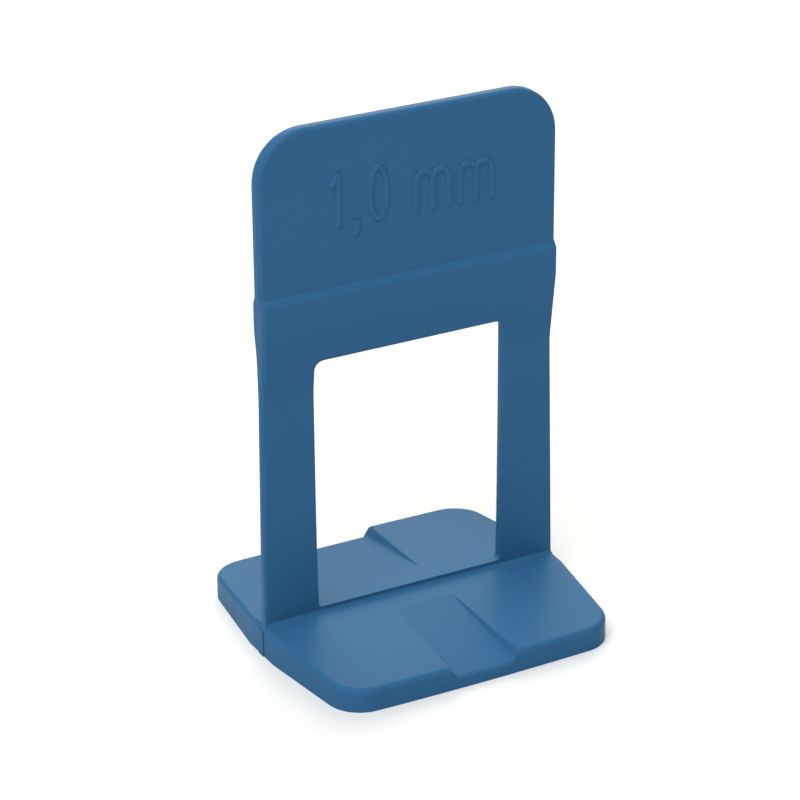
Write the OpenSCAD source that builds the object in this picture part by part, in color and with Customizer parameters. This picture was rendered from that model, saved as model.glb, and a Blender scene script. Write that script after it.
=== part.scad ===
// Tile levelling clip, moulded in one piece.
// The foot lies in the adhesive under two neighbouring tiles, the thin legs stand in
// the joint between them, and a wedge pushed through the window presses both tiles level.
// Millimetres, +Z up. The foot stands on Z = 0, the plate runs along X, the tiles lie along Y.

/* [Foot] */
// Width of the foot beside the plate
foot_w = 32.5; // [30:0.1:36]
// Length of the foot from end to end, under both tiles
foot_l = 30.4; // [24:0.1:40]
// Height of the foot at its ends
foot_h = 2.35; // [1.8:0.05:4]
// How far the tile seats rise from the foot's ends to the plate
seat_rise = 0.9; // [0.1:0.05:1.2]
// Half length of the straight stretch of each side, beside the plate
side_flat = 2.5; // [1:0.1:4]
// Width of the foot over its corners, where the sides have closed in
end_w = 30.2; // [26:0.1:32]
// How far the middle of each end stands out beyond the corners
end_bow = 0.2; // [0.1:0.05:1]
// Radius of the four corners, seen from above
corner_r = 3.6; // [2:0.1:6]
// Rounding of the upper edge
foot_edge_r = 0.5; // [0.2:0.05:0.9]
// How far the plate's ends stand out from the sides of the foot
rib_step = 0.1; // [0.05:0.05:0.4]

/* [Ramp recess] */
// Width of the floor of the recess in each tile seat
recess_w = 6.2; // [3:0.1:10]
// Distance from the middle of the plate to the start of the ramp
recess_from = 3.2; // [2:0.1:6]
// Depth of the ramp at the foot's end
recess_d = 1.1; // [0.4:0.05:1.4]
// Lean of the recess walls from upright
recess_draft = 33; // [5:1:45]

/* [Legs and window] */
// Thickness of the legs, which sets the joint between the tiles
leg_t = 1; // [0.8:0.1:3]
// Width over both legs at the underside of the foot
leg_foot_w = 32.2; // [29:0.1:33]
// Width over both legs where they are narrowest, below the band
leg_waist_w = 31.5; // [28:0.1:34]
// Fillet between the legs and the tile seats
root_r = 0.35; // [0.2:0.05:0.45]
// Height of the sill above the tile seats
sill_h = 0.55; // [0.45:0.05:3]
// Width of the window for the wedge
window_w = 20.4; // [14:0.1:24]
// Height of the window for the wedge
window_h = 26; // [16:0.1:32]
// Radius of the window's upper corners
window_top_r = 0.9; // [0.5:0.1:4]
// Radius of the window's lower corners
window_sill_r = 0.4; // [0.2:0.1:2]

/* [Band] */
// Distance from the top of the window to the upright part of the band
band_rise = 4; // [3:0.1:8]
// Height of the band's upright faces
band_h = 2.7; // [1:0.1:6]
// Step from the tab out to the band on the front
band_front_step = 0.45; // [0.3:0.05:1.2]
// Step from the tab out to the band on the back
band_back_step = 0.25; // [0.2:0.05:1.2]
// Height of the bevel from the band back to the tab
bevel_h = 0.6; // [0.3:0.05:1.5]
// Height over which the front of the band thins down to the legs
thin_front_h = 7.1; // [3:0.1:10]
// Height over which the back of the band thins down to the legs
thin_back_h = 2.8; // [2:0.1:10]

/* [Tab] */
// Width of the tab and the band
tab_w = 31.7; // [28:0.1:36]
// Height of the tab above the bevel
tab_h = 16; // [10:0.1:24]
// Thickness of the tab
tab_t = 1.5; // [1.3:0.1:3]
// How far the tab's middle stands in front of the legs' middle
tab_forward = 0.15; // [0:0.05:0.3]
// Radius of the tab's upper corners
tab_corner_r = 4.9; // [3:0.1:10]
// Rounding of the tab's edges
tab_edge_r = 0.5; // [0.2:0.05:0.6]

/* [Hidden] */
$fn = 96;
// Steps in a full turn of the rounded edges, the foot's corners and its shallow end arcs
edge_fn = 24;
corner_fn = 64;
bow_fn = 720;
// Share of the width between the corners that an end arc covers
bow_share = 0.9;
// How far a cutter runs past the surface that it opens
past = 1;
// How far the rounded end of a ramp runs past the foot's end
run_out = 0.05;

clip_blue = [0.18, 0.37, 0.55];

// Heights of the plate's features, from the tile seats upwards
seat_z = foot_h + seat_rise;
sill_z = seat_z + sill_h;
window_z = sill_z + window_h;
band_z = window_z + band_rise;
bevel_z = band_z + band_h;
tab_z = bevel_z + bevel_h;
top_z = tab_z + tab_h;

// Faces of the plate across the joint: fronts lie on -Y, backs on +Y
leg_y = leg_t/2;
tab_front = tab_forward + tab_t/2;
tab_back = tab_t/2 - tab_forward;
band_front = tab_front + band_front_step;
band_back = tab_back + band_back_step;

// Plan of the foot: corner centres, and the arc that bows each end
half_w = foot_w/2;
half_l = foot_l/2;
corner_x = end_w/2 - corner_r;
corner_y = half_l - end_bow - corner_r;
end_r = (pow(corner_x, 2) + pow(end_bow, 2))/(2*end_bow);
end_sweep = 2*asin(bow_share*corner_x/end_r);
rim_h = 2*foot_edge_r;

// Falls of the tile seats and of the ramps in them, from the plate to the foot's ends
seat_fall = seat_rise/half_l;
recess_z = seat_z - seat_fall*recess_from;
ramp_fall = (recess_z - foot_h + recess_d)/(half_l - recess_from);

// Section through the foot's rim, from x = 0 to the wall at x = depth, its upper edge rounded by r
module rim_section(depth, r) {
    square([depth, rim_h - r]);
    square([depth - r, rim_h]);
    if (r > 0)
        translate([depth - r, rim_h - r])
            circle(r, $fn = edge_fn);
}

// Rim of half the foot: straight beside the plate, round at the corners and bowed at the end
module half_rim(r) {
    rotate([90, 0, 180])
        linear_extrude(side_flat)
            for (side = [0, 1])
                mirror([side, 0])
                    rim_section(half_w, r);
    for (side = [-1, 1])
        translate([side*corner_x, corner_y, 0])
            rotate_extrude($fn = corner_fn)
                rim_section(corner_r, r);
    translate([0, half_l - end_r, 0])
        rotate(90 - end_sweep/2)
            rotate_extrude(angle = end_sweep, $fn = bow_fn)
                translate([end_r - corner_r, 0])
                    rim_section(corner_r, r);
}

// The foot's block: a plain rim on the ground and a rounded one that falls with the tile seats
module foot_block() {
    hull()
        for (end = [0, 1])
            mirror([0, end, 0]) {
                half_rim(0);
                multmatrix([
                    [1, 0, 0, 0],
                    [0, 1, 0, 0],
                    [0, -seat_fall, 1, seat_z - rim_h],
                    [0, 0, 0, 1]
                ])
                    half_rim(foot_edge_r);
            }
}

// Cutter for the recess: a channel with leaning walls along a ramp, rounded off at the foot's end
module ramp_recess() {
    lean = tan(recess_draft);
    ramp = atan(ramp_fall);
    half = recess_w/2;
    round_y = half_l - foot_edge_r + run_out;
    round_z = recess_z - ramp_fall*(round_y - recess_from) - foot_edge_r/cos(ramp);
    intersection() {
        translate([0, recess_from, recess_z])
            rotate([90 + ramp, 0, 180])
                linear_extrude(foot_l)
                    polygon([
                        [-half - 2*lean*past, 2*past],
                        [half + 2*lean*past, 2*past],
                        [half - lean*past, -past],
                        [lean*past - half, -past]
                    ]);
        rotate([90, 0, 90])
            linear_extrude(foot_w, center = true)
                polygon(concat(
                    [[recess_from, recess_z]],
                    [for (i = [0:edge_fn/4])
                        let (a = (90 - ramp)*(1 - 4*i/edge_fn))
                        [round_y + foot_edge_r*cos(a), round_z + foot_edge_r*sin(a)]],
                    [[half_l + past, round_z], [half_l + past, seat_z + past], [recess_from, seat_z + past]]
                ));
    }
}

// The foot with its two ramps, and the plate's ends that show as a rib on each side
module foot() {
    difference() {
        foot_block();
        for (end = [0, 1])
            mirror([0, end, 0])
                ramp_recess();
    }
    translate([-half_w - rib_step, -leg_y, 0])
        cube([foot_w + 2*rib_step, leg_t, seat_z - foot_edge_r]);
}

// Fillets between the tile seats and the faces of the legs, in side view
module root_fillet() {
    fillet_z = seat_z - seat_fall*(leg_y + root_r) + root_r;
    difference() {
        translate([-leg_y - root_r, foot_h/2])
            square([leg_t + 2*root_r, fillet_z - foot_h/2]);
        for (face = [-1, 1])
            translate([face*(leg_y + root_r), fillet_z])
                circle(root_r);
    }
}

// Side view of legs and band, from the underside to the foot of the tab
module plate_profile() {
    polygon([
        [leg_y, 0],
        [leg_y, band_z - thin_back_h],
        [band_back, band_z],
        [band_back, bevel_z],
        [tab_back, tab_z],
        [-tab_front, tab_z],
        [-band_front, bevel_z],
        [-band_front, band_z],
        [-leg_y, band_z - thin_front_h],
        [-leg_y, 0]
    ]);
}

// Front view of legs and band, without the window
module plate_outline() {
    for (side = [0, 1])
        mirror([side, 0])
            polygon([
                [0, 0],
                [leg_foot_w/2, 0],
                [leg_waist_w/2, band_z - thin_front_h],
                [tab_w/2, band_z],
                [tab_w/2, tab_z],
                [0, tab_z]
            ]);
}

// Opening for the wedge, in front view
module window() {
    inner_w = window_w/2;
    for (side = [-1, 1]) {
        translate([side*(inner_w - window_top_r), window_z - window_top_r])
            circle(window_top_r);
        translate([side*(inner_w - window_sill_r), sill_z + window_sill_r])
            circle(window_sill_r);
    }
    translate([-inner_w, sill_z + window_sill_r])
        square([window_w, window_h - window_sill_r - window_top_r]);
    translate([window_top_r - inner_w, window_z - window_top_r - past])
        square([window_w - 2*window_top_r, window_top_r + past]);
    translate([window_sill_r - inner_w, sill_z])
        square([window_w - 2*window_sill_r, window_sill_r + past]);
}

// Section through the tab's edge, with its wall at x = tab_corner_r
module tab_edge() {
    flat = tab_corner_r - tab_edge_r;
    square([flat, tab_t]);
    translate([0, tab_edge_r])
        square([tab_corner_r, tab_t - 2*tab_edge_r]);
    for (y = [tab_edge_r, tab_t - tab_edge_r])
        translate([flat, y])
            circle(tab_edge_r);
}

// The tab, from inside the band up to its rounded top
module tab() {
    centre_x = tab_w/2 - tab_corner_r;
    centre_z = top_z - tab_corner_r;
    translate([0, tab_back, 0])
        rotate([90, 0, 0]) {
            for (side = [0, 1])
                mirror([side, 0, 0])
                    translate([centre_x, centre_z, 0]) {
                        rotate_extrude(angle = 90)
                            tab_edge();
                        rotate([90, 0, 0])
                            linear_extrude(centre_z - band_z)
                                tab_edge();
                    }
            translate([-centre_x, centre_z, 0])
                rotate([90, 0, 90])
                    linear_extrude(2*centre_x)
                        tab_edge();
            translate([-centre_x, band_z, 0])
                cube([2*centre_x, centre_z - band_z, tab_t]);
        }
}

// Legs, band and tab, with the fillets on the tile seats and the window
module plate() {
    difference() {
        union() {
            intersection() {
                rotate([90, 0, 90])
                    linear_extrude(2*tab_w, center = true) {
                        plate_profile();
                        root_fillet();
                    }
                rotate([90, 0, 0])
                    linear_extrude(foot_l, center = true)
                        plate_outline();
            }
            tab();
        }
        rotate([90, 0, 0])
            linear_extrude(foot_l, center = true)
                window();
    }
}

module clip() {
    color(clip_blue) {
        foot();
        plate();
    }
}

clip();
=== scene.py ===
import math

import bmesh
import bpy
from mathutils import Matrix, Vector


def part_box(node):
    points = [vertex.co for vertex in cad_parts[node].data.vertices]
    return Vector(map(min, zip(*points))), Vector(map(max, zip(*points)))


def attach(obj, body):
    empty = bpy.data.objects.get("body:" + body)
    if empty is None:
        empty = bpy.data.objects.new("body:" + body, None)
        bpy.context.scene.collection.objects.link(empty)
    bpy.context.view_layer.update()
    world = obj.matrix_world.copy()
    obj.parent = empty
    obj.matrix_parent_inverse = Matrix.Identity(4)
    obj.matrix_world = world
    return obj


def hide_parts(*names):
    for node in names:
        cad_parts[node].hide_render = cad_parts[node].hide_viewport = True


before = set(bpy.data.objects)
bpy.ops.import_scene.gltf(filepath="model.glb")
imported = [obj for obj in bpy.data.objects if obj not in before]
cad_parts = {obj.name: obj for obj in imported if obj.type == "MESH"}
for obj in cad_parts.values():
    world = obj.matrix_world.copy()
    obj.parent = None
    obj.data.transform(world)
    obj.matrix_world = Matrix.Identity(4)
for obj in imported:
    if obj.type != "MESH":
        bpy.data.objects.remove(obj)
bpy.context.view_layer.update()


# The clip: foot, legs, band and tab are one shot of blue polypropylene from a two-part mould.
# Its faces carry the fine grain of the mould, and its edges the small radius that the cutter left there.
# It is made from a copy of the solid. Lengths are in millimetres and angles in degrees.
MM = 0.001
PLASTIC_BLUE = (0.026, 0.109, 0.232, 1)
PLASTIC_PALE = (0.0298, 0.119, 0.251, 1)
PLASTIC_ROUGHNESS = 0.37
PLASTIC_SPECULAR = 0.044
CLOUD_SCALE = 75.0
PATCH_SCALE = 380.0
GRAIN_SCALE = 4200.0
COARSE_DETAIL = 3.0
FINE_DETAIL = 2.0
NOISE_ROUGHNESS = 0.55
NOISE_MIDDLE = 0.5
CLOUD_SHARE = 0.75
PATCH_GLOSS = 0.1
GRAIN_GLOSS = 0.06
PATCH_RELIEF = 0.6
RELIEF_STRENGTH = 0.18
RELIEF_DEPTH = 0.012


class Sock:
    """A socket of a shader. Sums on it add Math nodes, and make() adds any other node."""

    def __init__(self, tree, socket=None):
        self.tree = tree
        self.socket = socket

    def make(self, kind, settings=None, sockets=None, out=0):
        """Adds a node, sets it up, fills or links its sockets and gives one of its outputs."""
        node = self.tree.nodes.new(kind)
        for name, value in (settings or {}).items():
            setattr(node, name, value)
        for name, value in (sockets or {}).items():
            if isinstance(value, Sock):
                self.tree.links.new(value.socket, node.inputs[name])
            else:
                node.inputs[name].default_value = value
        return Sock(self.tree, node.outputs[out]) if node.outputs else None

    def between(self, factor, first, second):
        """A colour between two others. The Mix node has its colour sockets at these places."""
        return self.make("ShaderNodeMix", {"data_type": "RGBA"}, {0: factor, 6: first, 7: second}, out=2)

    def maths(self, operation, first, second):
        """Adds the Math node for one sum."""
        return self.make("ShaderNodeMath", {"operation": operation}, {0: first, 1: second})

    def __add__(self, other):
        return self.maths("ADD", self, other)

    def __radd__(self, other):
        return self.maths("ADD", other, self)

    def __sub__(self, other):
        return self.maths("SUBTRACT", self, other)

    def __rsub__(self, other):
        return self.maths("SUBTRACT", other, self)

    def __mul__(self, other):
        return self.maths("MULTIPLY", self, other)

    def __rmul__(self, other):
        return self.maths("MULTIPLY", other, self)


def moulded_plastic(name):
    """Semi-gloss blue plastic: slow clouds of pigment, uneven gloss and a fine eroded grain."""
    material = bpy.data.materials.new(name)
    material.use_nodes = True
    material.node_tree.nodes.clear()
    shader = Sock(material.node_tree)
    place = shader.make("ShaderNodeTexCoord", out="Object")

    def noise(scale, detail):
        sockets = {"Vector": place, "Scale": scale, "Detail": detail, "Roughness": NOISE_ROUGHNESS}
        return shader.make("ShaderNodeTexNoise", sockets=sockets)

    clouds = noise(CLOUD_SCALE, COARSE_DETAIL)
    patches = noise(PATCH_SCALE, COARSE_DETAIL)
    grain = noise(GRAIN_SCALE, FINE_DETAIL)
    pigment = clouds * CLOUD_SHARE + patches * (1 - CLOUD_SHARE)
    uneven = (patches - NOISE_MIDDLE) * PATCH_GLOSS + (grain - NOISE_MIDDLE) * GRAIN_GLOSS
    relief = shader.make(
        "ShaderNodeBump",
        sockets={
            "Strength": RELIEF_STRENGTH,
            "Distance": RELIEF_DEPTH * MM,
            "Height": grain + patches * PATCH_RELIEF,
        },
    )
    surface = shader.make(
        "ShaderNodeBsdfPrincipled",
        sockets={
            "Base Color": shader.between(pigment, PLASTIC_BLUE, PLASTIC_PALE),
            "Roughness": PLASTIC_ROUGHNESS + uneven,
            "Specular IOR Level": PLASTIC_SPECULAR,
            "Normal": relief,
        },
    )
    shader.make("ShaderNodeOutputMaterial", sockets={"Surface": surface})
    return material


plastic = moulded_plastic("clip_plastic_finish")

# The copy's loose triangles are merged, split along the middle so that the halves stay alike,
# and joined to large flat faces.
MERGE_GAP = 0.001
FLAT_ANGLE = 0.6
clip_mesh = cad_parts["clip"].data.copy()
solid = bmesh.new()
solid.from_mesh(clip_mesh)
bmesh.ops.remove_doubles(solid, verts=solid.verts, dist=MERGE_GAP * MM)
halves = bmesh.ops.bisect_plane(
    solid, geom=solid.verts[:] + solid.edges[:] + solid.faces[:], plane_co=(0, 0, 0), plane_no=(1, 0, 0)
)
for element in halves["geom_cut"]:
    if isinstance(element, bmesh.types.BMEdge):
        element.seam = True
bmesh.ops.dissolve_limit(
    solid,
    angle_limit=math.radians(FLAT_ANGLE),
    verts=solid.verts,
    edges=solid.edges,
    delimit={"SEAM"},
)

# The small edges of the plate are rounded. Each kind is told by its place, its run and its angle.
ROUND_PROFILE = 0.5
SQUARE_ANGLE = 60
LEVEL_SLACK = 0.01
LONG_RUN = 1
CREASE_RADIUS = 0.6
CREASE_STEPS = 4
CREASE_HEIGHTS = (26, 35)
CREASE_ANGLES = (4, 10)
WINDOW_RADIUS = 0.3
WINDOW_STEPS = 3
WINDOW_HALF_WIDTH = 10.2
WINDOW_CORNER_TOP = 4.2
WINDOW_TOP = 29.8
WINDOW_SLACK = 0.05
PLATE_REACH = 1.2
END_RADIUS = 0.38
END_STEPS = 4
END_ZONE = 0.75
END_LOW = 3.5
END_STEEPNESS = 0.5
BAND_RADIUS = 0.12
BAND_STEPS = 2
BAND_TOP = 36.5
BAND_ANGLE = 15
highest_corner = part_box("clip")[1]
end_start = highest_corner.x / MM - END_ZONE


def soften(radius, steps, chosen):
    """Rounds the edges for which chosen(one end, other end, angle) holds."""
    edges = []
    for edge in solid.edges:
        first, second = (vert.co / MM for vert in edge.verts)
        if chosen(first, second, math.degrees(edge.calc_face_angle_signed(0))):
            edges.append(edge)
    bmesh.ops.bevel(
        solid,
        geom=edges,
        offset=radius * MM,
        offset_type="OFFSET",
        segments=steps,
        profile=ROUND_PROFILE,
        affect="EDGES",
    )


def runs_across(first, second):
    """Whether an edge is level and runs along the plate."""
    return abs(first.x - second.x) > LONG_RUN and abs(first.z - second.z) < LEVEL_SLACK


def is_crease(first, second, angle):
    """Where the band thins down to the legs."""
    below_band = CREASE_HEIGHTS[0] < first.z < CREASE_HEIGHTS[1]
    return runs_across(first, second) and below_band and CREASE_ANGLES[0] < abs(angle) < CREASE_ANGLES[1]


def at_window(point):
    """Whether a point of the plate lies on the window's rim, above the corners at the sill."""
    inside = abs(point.x) < WINDOW_HALF_WIDTH + WINDOW_SLACK and abs(point.y) < PLATE_REACH
    return inside and WINDOW_CORNER_TOP - WINDOW_SLACK < point.z < WINDOW_TOP + WINDOW_SLACK


def is_window_edge(first, second, angle):
    """The rim of the window, in front and behind."""
    return at_window(first) and at_window(second) and angle > SQUARE_ANGLE


def is_plate_end(first, second, angle):
    """The upright edges at the plate's outer ends."""
    outside = all(abs(end.x) > end_start and end.z > END_LOW for end in (first, second))
    upright = abs(first.z - second.z) > END_STEEPNESS * (first - second).length
    return outside and upright and angle > SQUARE_ANGLE


def is_band_top(first, second, angle):
    """The edge above which the band slopes back to the tab."""
    at_top = abs(first.z - BAND_TOP) < LEVEL_SLACK
    return runs_across(first, second) and at_top and angle > BAND_ANGLE


soften(CREASE_RADIUS, CREASE_STEPS, is_crease)
soften(WINDOW_RADIUS, WINDOW_STEPS, is_window_edge)
soften(END_RADIUS, END_STEPS, is_plate_end)
soften(BAND_RADIUS, BAND_STEPS, is_band_top)

# The side walls of the ramps are split for soft shading, in a fan from the tip and twice across.
WALL_HIGHEST = 3.2
WALL_SIDEWAYS = 0.8
WALL_UPWARDS = (0.5, 0.6)
SAME_WALL = 0.99
FAN_SHARES = (0.25, 0.75)
ACROSS_SHARES = (0.12, 0.35)


def is_ramp_wall(normal, centre):
    """Whether a face is a drafted side wall of one of the two ramps in the foot."""
    slanted = abs(normal.x) > WALL_SIDEWAYS and WALL_UPWARDS[0] < normal.z < WALL_UPWARDS[1]
    return slanted and centre.z < WALL_HIGHEST * MM


def ramp_walls():
    """The faces of the solid that are such walls."""
    return [face for face in solid.faces if is_ramp_wall(face.normal, face.calc_center_median())]


def split(faces, point, normal):
    """Splits some faces along a plane."""
    edges = [edge for face in faces for edge in face.edges]
    verts = [vert for face in faces for vert in face.verts]
    geometry = list(dict.fromkeys(verts + edges + faces))
    bmesh.ops.bisect_plane(
        solid, geom=geometry, dist=MERGE_GAP * MM, plane_co=point, plane_no=normal.normalized()
    )


for wall in ramp_walls():
    facing = wall.normal.copy()
    tip = min(wall.verts, key=lambda vert: abs(vert.co.y)).co.copy()
    lip = max(wall.verts, key=lambda vert: abs(vert.co.x)).co.copy()
    floor_side = [vert for vert in wall.verts if abs(vert.co.x - tip.x) < MERGE_GAP * MM]
    toe = max(floor_side, key=lambda vert: abs(vert.co.y)).co.copy()
    planes = [(tip, (toe.lerp(lip, share) - tip).cross(facing)) for share in FAN_SHARES]
    planes += [(tip.lerp(lip, share), Vector((0, 1, 0))) for share in ACROSS_SHARES]
    for point, normal in planes:
        split([face for face in ramp_walls() if face.normal.dot(facing) > SAME_WALL], point, normal)

# Faces that meet at a small angle are shaded as one, except along the line where a ramp leaves its seat.
WELD_ANGLE = 32
RAMP_START = 3.2
RAMP_HALF_WIDTH = 3.1
RAMP_START_LOW = 3


def starts_ramp(point):
    """Whether a point lies on the line where a ramp starts."""
    on_line = abs(abs(point.y) - RAMP_START) < LEVEL_SLACK and point.z > RAMP_START_LOW
    return on_line and abs(point.x) < RAMP_HALF_WIDTH + LEVEL_SLACK


for face in solid.faces:
    face.smooth = True
for edge in solid.edges:
    at_start = all(starts_ramp(vert.co / MM) for vert in edge.verts)
    edge.smooth = edge.calc_face_angle(0) < math.radians(WELD_ANGLE) and not at_start
solid.to_mesh(clip_mesh)
solid.free()
clip_mesh.materials.clear()
clip_mesh.materials.append(plastic)
raw_clip = bpy.data.objects.new("clip_raw", clip_mesh)
bpy.context.collection.objects.link(raw_clip)
raw_clip.modifiers.new("flat_faces", "WEIGHTED_NORMAL").keep_sharp = True
evaluated_clip = raw_clip.evaluated_get(bpy.context.evaluated_depsgraph_get())
clip_mesh = bpy.data.meshes.new_from_object(evaluated_clip)
bpy.data.objects.remove(raw_clip)

# A wall's shading runs from that of the seat above it to that of the ramp's floor below it.
LEVEL_FACE = 0.98
level_normals = {}
for face in clip_mesh.polygons:
    if face.normal.z > LEVEL_FACE:
        for vertex_index in face.vertices:
            level_normals.setdefault(vertex_index, []).append(face.normal.copy())
corner_normals = [corner.vector.copy() for corner in clip_mesh.corner_normals]
for face in clip_mesh.polygons:
    if is_ramp_wall(face.normal, face.center):
        for loop_index, vertex_index in zip(face.loop_indices, face.vertices):
            beside = level_normals.get(vertex_index, [face.normal])
            corner_normals[loop_index] = sum(beside, Vector()).normalized()
clip_mesh.normals_split_custom_set(corner_normals)
clip = bpy.data.objects.new("clip_body", clip_mesh)
bpy.context.collection.objects.link(clip)
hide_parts("clip")
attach(clip, "root")


# The joint mark: low raised strokes on the front of the tab that give the width of the joint.
# They are cut into the mould, so they are of the same plastic as the tab and stand slightly proud of it.
# Their points are given as seen from the front: from the clip's middle, and above its underside.
TAB_LOW = 40
STROKE_FOOT = 0.74
STROKE_TOP = 0.42
STROKE_RELIEF = 0.13
STROKE_SUNK = 0.1
STROKE_SOFTNESS = 0.06
STROKE_ROUNDING = 3
STROKE_LIFT = 0.002
STAND_UP = math.radians(90)
ONE_STEM = -7.56
ONE_BASE = 42.95
ONE_TOP = 48.2
ONE_FLAG = [(-7.75, 47.75), (-8.05, 47.25), (-8.4, 46.9)]
COMMA_POINTS = [(-5.66, 43.3), (-5.62, 42.9), (-5.72, 42.2), (-5.9, 41.8)]
NOUGHT_CENTRE = (-3.4, 45.55)
NOUGHT_RADII = (0.86, 2.52)
NOUGHT_START = 90
NOUGHT_STEPS = 48
FULL_TURN = 360
LETTER_BASE = 42.85
LETTER_TOP = 46.7
LETTER_STEMS = [(0.62, 2.36, 4.06), (5.26, 6.98, 8.68)]
ARCH_HEIGHT = 0.82
ARCH_START = 165
ARCH_STEPS = 14


def arc(centre, radii, start, stop, steps):
    """Points on an ellipse from one angle to another."""
    points = []
    for step in range(steps + 1):
        angle = math.radians(start + (stop - start) * step / steps)
        points.append((centre[0] + radii[0] * math.cos(angle), centre[1] + radii[1] * math.sin(angle)))
    return points


def letter_m(left, middle, right):
    """Three stems of which the second and third start as arches out of the one before."""
    stems = [[(left, LETTER_BASE), (left, LETTER_TOP)]]
    for from_x, to_x in ((left, middle), (middle, right)):
        half = (to_x - from_x) / 2
        centre = (from_x + half, LETTER_TOP - ARCH_HEIGHT)
        arch = arc(centre, (half, ARCH_HEIGHT), ARCH_START, 0, ARCH_STEPS)
        stems.append(arch + [(to_x, LETTER_BASE)])
    return stems


digit_one = [[(ONE_STEM, ONE_BASE), (ONE_STEM, ONE_TOP)], [(ONE_STEM, ONE_TOP)] + ONE_FLAG]
nought_stop = NOUGHT_START + FULL_TURN
digit_nought = arc(NOUGHT_CENTRE, NOUGHT_RADII, NOUGHT_START, nought_stop, NOUGHT_STEPS)[:-1]
marks = digit_one + [COMMA_POINTS, digit_nought]
for stems in LETTER_STEMS:
    marks += letter_m(*stems)

# Each stroke lies slightly higher than the one before, so that strokes that cross share no plane.
stroke_curve = bpy.data.curves.new("joint_mark_strokes", "CURVE")
stroke_curve.dimensions = "3D"
stroke_curve.twist_mode = "Z_UP"
for order, stroke in enumerate(marks):
    spline = stroke_curve.splines.new("POLY")
    spline.points.add(len(stroke) - 1)
    for point, (x, y) in zip(spline.points, stroke):
        point.co = (x * MM, y * MM, order * STROKE_LIFT * MM, 1)
    spline.use_cyclic_u = stroke is digit_nought
strokes = bpy.data.objects.new("joint_mark_strokes", stroke_curve)
bpy.context.collection.objects.link(strokes)

# The tree sweeps a trapezoid with rounded corners along the strokes, its narrow side to the front.
# The sweep turns the section over, so its top takes the width of the stroke's foot.
stroke_sizes = {
    "Foot Width": STROKE_FOOT,
    "Top Width": STROKE_TOP,
    "Height": STROKE_RELIEF + STROKE_SUNK,
    "Softness": STROKE_SOFTNESS,
}
sweep = bpy.data.node_groups.new("raised_strokes", "GeometryNodeTree")
sweep.interface.new_socket("Geometry", in_out="INPUT", socket_type="NodeSocketGeometry")
for name in stroke_sizes:
    sweep.interface.new_socket(name, in_out="INPUT", socket_type="NodeSocketFloat")
sweep.interface.new_socket("Geometry", in_out="OUTPUT", socket_type="NodeSocketGeometry")
nodes = sweep.nodes
link = sweep.links.new
inputs = nodes.new("NodeGroupInput")
section = nodes.new("GeometryNodeCurvePrimitiveQuadrilateral")
section.mode = "TRAPEZOID"
link(inputs.outputs["Foot Width"], section.inputs["Top Width"])
link(inputs.outputs["Top Width"], section.inputs["Bottom Width"])
link(inputs.outputs["Height"], section.inputs["Height"])
section.inputs["Offset"].default_value = 0
rounding = nodes.new("GeometryNodeFilletCurve")
rounding.mode = "POLY"
rounding.inputs["Count"].default_value = STROKE_ROUNDING
link(section.outputs["Curve"], rounding.inputs["Curve"])
link(inputs.outputs["Softness"], rounding.inputs["Radius"])
tube = nodes.new("GeometryNodeCurveToMesh")
link(inputs.outputs["Geometry"], tube.inputs["Curve"])
link(rounding.outputs["Curve"], tube.inputs["Profile Curve"])
tube.inputs["Fill Caps"].default_value = True
realize = nodes.new("GeometryNodeRealizeInstances")
link(tube.outputs["Mesh"], realize.inputs["Geometry"])
paint = nodes.new("GeometryNodeSetMaterial")
paint.inputs["Material"].default_value = plastic
link(realize.outputs["Geometry"], paint.inputs["Geometry"])
result = nodes.new("NodeGroupOutput")
link(paint.outputs["Geometry"], result.inputs["Geometry"])

modifier = strokes.modifiers.new("raised_strokes", "NODES")
modifier.node_group = sweep
for item in sweep.interface.items_tree:
    if item.in_out == "INPUT" and item.name in stroke_sizes:
        modifier[item.identifier] = stroke_sizes[item.name] * MM
evaluated_strokes = strokes.evaluated_get(bpy.context.evaluated_depsgraph_get())
mark_mesh = bpy.data.meshes.new_from_object(evaluated_strokes)
bpy.data.objects.remove(strokes)
tab_front = min(vert.co.y for vert in clip_mesh.vertices if vert.co.z > TAB_LOW * MM)
mark_middle = tab_front - (STROKE_RELIEF - STROKE_SUNK) / 2 * MM
mark_mesh.transform(Matrix.Rotation(STAND_UP, 4, "X"))
mark_mesh.transform(Matrix.Translation((0, mark_middle, 0)))
for face in mark_mesh.polygons:
    face.use_smooth = True
mark = bpy.data.objects.new("joint_mark", mark_mesh)
bpy.context.collection.objects.link(mark)
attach(mark, "root")


# The floor: a plain sheet of pale, matt studio paper with a faint fibre.
# It lies under the clip and is wide enough to fill the views from above. Its lengths are in metres.
FLOOR_HALF = 4.0
PAPER_WHITE = (0.77, 0.77, 0.77, 1)
PAPER_FIBRE = (0.79, 0.79, 0.79, 1)
PAPER_ROUGHNESS = 0.9
PAPER_SPECULAR = 0.1
FIBRE_SCALE = 900.0
floor_mesh = bpy.data.meshes.new("floor")
floor_corners = [(x * FLOOR_HALF, y * FLOOR_HALF, 0) for x, y in ((-1, -1), (1, -1), (1, 1), (-1, 1))]
floor_mesh.from_pydata(floor_corners, [], [(0, 1, 2, 3)])
paper = bpy.data.materials.new("floor_paper")
paper.use_nodes = True
paper.node_tree.nodes.clear()
sheet = Sock(paper.node_tree)
sheet_place = sheet.make("ShaderNodeTexCoord", out="Object")
fibres = sheet.make(
    "ShaderNodeTexNoise", sockets={"Vector": sheet_place, "Scale": FIBRE_SCALE, "Detail": FINE_DETAIL}
)
matt = sheet.make(
    "ShaderNodeBsdfPrincipled",
    sockets={
        "Base Color": sheet.between(fibres, PAPER_WHITE, PAPER_FIBRE),
        "Roughness": PAPER_ROUGHNESS,
        "Specular IOR Level": PAPER_SPECULAR,
    },
)
sheet.make("ShaderNodeOutputMaterial", sockets={"Surface": matt})
floor_mesh.materials.append(paper)
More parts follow.
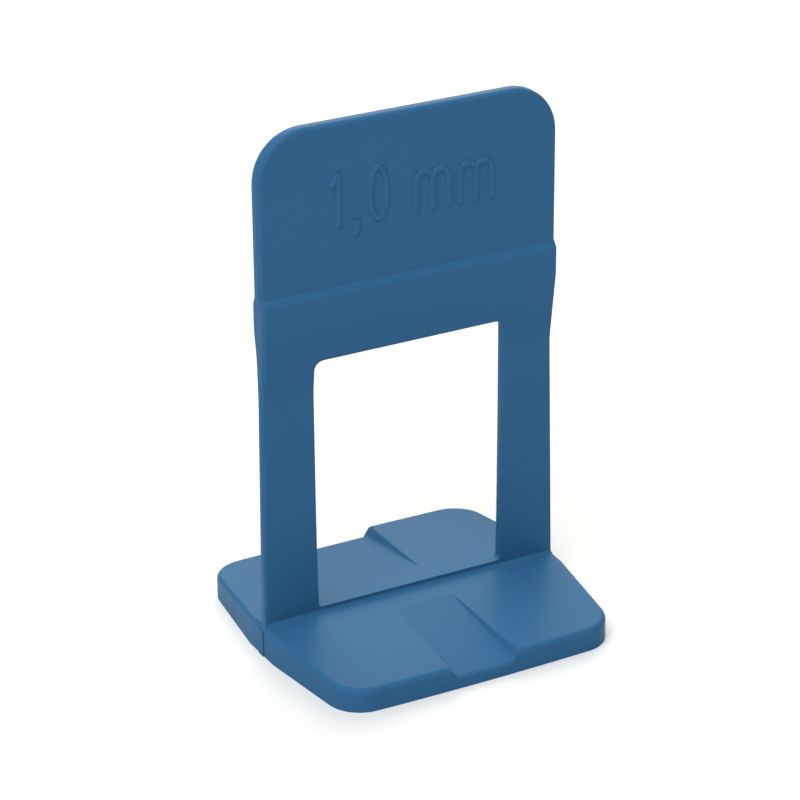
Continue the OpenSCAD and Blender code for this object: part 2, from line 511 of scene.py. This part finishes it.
floor = bpy.data.objects.new("floor", floor_mesh)
bpy.context.collection.objects.link(floor)


# The light: a dim room, slightly cool, with two large soft lamps. One stands high on the left in front
# of the clip, and the other stands behind it on the right, where the foot mirrors it.
# Places and sizes are in metres, and powers in watts.
ROOM_COLOUR = (0.92, 0.95, 1, 1)
ROOM_STRENGTH = 0.32
LAMP_TARGET = Vector((0, 0, 0.02))
KEY_PLACE = Vector((-0.4, -0.27, 0.8))
KEY_SIZE = 0.8
KEY_POWER = 9.4
KEY_COLOUR = (0.99, 1, 0.98)
BACK_PLACE = Vector((0.55, 0.92, 0.9))
BACK_SIZE = 1.4
BACK_POWER = 18.5
BACK_COLOUR = (1, 0.98, 0.84)
world = bpy.data.worlds.new("dim_room")
world.use_nodes = True
background = world.node_tree.nodes["Background"]
background.inputs["Color"].default_value = ROOM_COLOUR
background.inputs["Strength"].default_value = ROOM_STRENGTH
bpy.context.scene.world = world


def soft_lamp(name, place, size, power, colour):
    """A square lamp that shines on the clip."""
    lamp = bpy.data.lights.new(name, "AREA")
    lamp.shape = "SQUARE"
    lamp.size = size
    lamp.energy = power
    lamp.color = colour
    holder = bpy.data.objects.new(name, lamp)
    holder.location = place
    holder.rotation_euler = (LAMP_TARGET - place).to_track_quat("-Z", "Y").to_euler()
    bpy.context.collection.objects.link(holder)


soft_lamp("key_lamp", KEY_PLACE, KEY_SIZE, KEY_POWER, KEY_COLOUR)
soft_lamp("back_lamp", BACK_PLACE, BACK_SIZE, BACK_POWER, BACK_COLOUR)


# The camera: it looks down on the front of the clip from its left, at the photograph's angle.
# Its place and lens were fitted to the outline of the clip in a picture 800 pixels wide.
PICTURE = 800
FOCAL_PIXELS = 3107.8
SENSOR = 36
TILT = math.radians(24.509)
TURN = math.radians(28.572)
ROLL = math.radians(-0.413)
AIM = Vector((-0.814, 0, 23.564)) * MM
DISTANCE = 297.65 * MM
NEAR = 0.01
FAR = 50
forward = Vector((math.sin(TURN) * math.cos(TILT), math.cos(TURN) * math.cos(TILT), -math.sin(TILT)))
sideways = Vector((math.cos(TURN), -math.sin(TURN), 0))
upwards = sideways.cross(forward)
across = sideways * math.cos(ROLL) + upwards * math.sin(ROLL)
above = upwards * math.cos(ROLL) - sideways * math.sin(ROLL)
pose = Matrix((across, above, -forward)).transposed().to_4x4()
pose.translation = AIM - forward * DISTANCE
lens = bpy.data.cameras.new("camera")
lens.sensor_width = SENSOR
lens.lens = FOCAL_PIXELS / PICTURE * SENSOR
lens.clip_start = NEAR
lens.clip_end = FAR
camera = bpy.data.objects.new("camera", lens)
camera.matrix_world = pose
bpy.context.collection.objects.link(camera)
bpy.context.scene.camera = camera
bpy.context.scene.view_settings.view_transform = "Standard"
